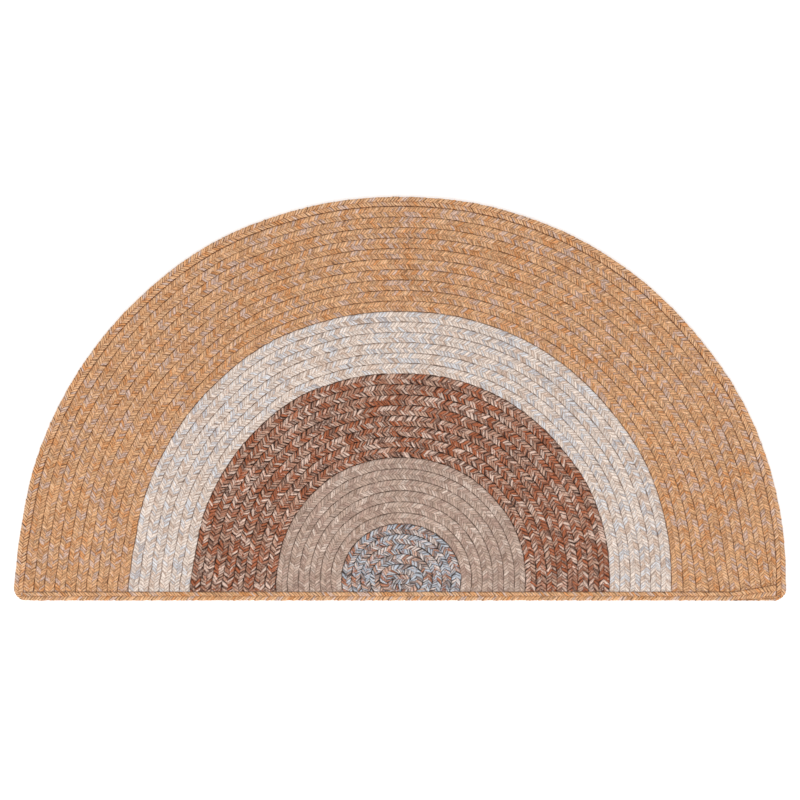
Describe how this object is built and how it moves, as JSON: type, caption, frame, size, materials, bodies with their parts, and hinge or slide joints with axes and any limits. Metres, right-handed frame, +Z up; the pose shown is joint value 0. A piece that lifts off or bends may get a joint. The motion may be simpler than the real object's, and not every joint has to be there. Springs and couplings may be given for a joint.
{
  "type": "half-moon rug",
  "caption": "Flat half-moon rug of braid coiled in rows of core, taupe, rust, cream and gold, edged all round with a gold braid.",
  "frame": {"origin": "bottom centre of the whole rug's box, on the flat underside", "axes": "+X along the straight side, to the right as the rug is seen from above with its straight side nearest; +Y from the straight side towards the top of the arc; +Z up, out of the face that is walked on"},
  "size_m": [1.164, 0.6086, 0.0095],
  "materials": {
    "core_yarn": "matt braided yarn, pale blue mixed with rust, pink and dark grey",
    "taupe_yarn": "matt braided yarn, taupe with pinkish cream strands",
    "rust_yarn": "matt braided yarn, rust and brown with beige strands",
    "cream_yarn": "matt braided yarn, cream with pale blue grey and tan strands",
    "gold_yarn": "matt braided yarn, gold and orange with light grey strands",
    "edging_yarn": "matt braided yarn, the same gold braid as the outer band"
  },
  "bodies": {
    "root": {"core_coil": "core_yarn", "taupe_band": "taupe_yarn", "rust_band": "rust_yarn", "cream_band": "cream_yarn", "gold_band": "gold_yarn", "edging_braid": "edging_yarn"}
  },
  "joints": []
}
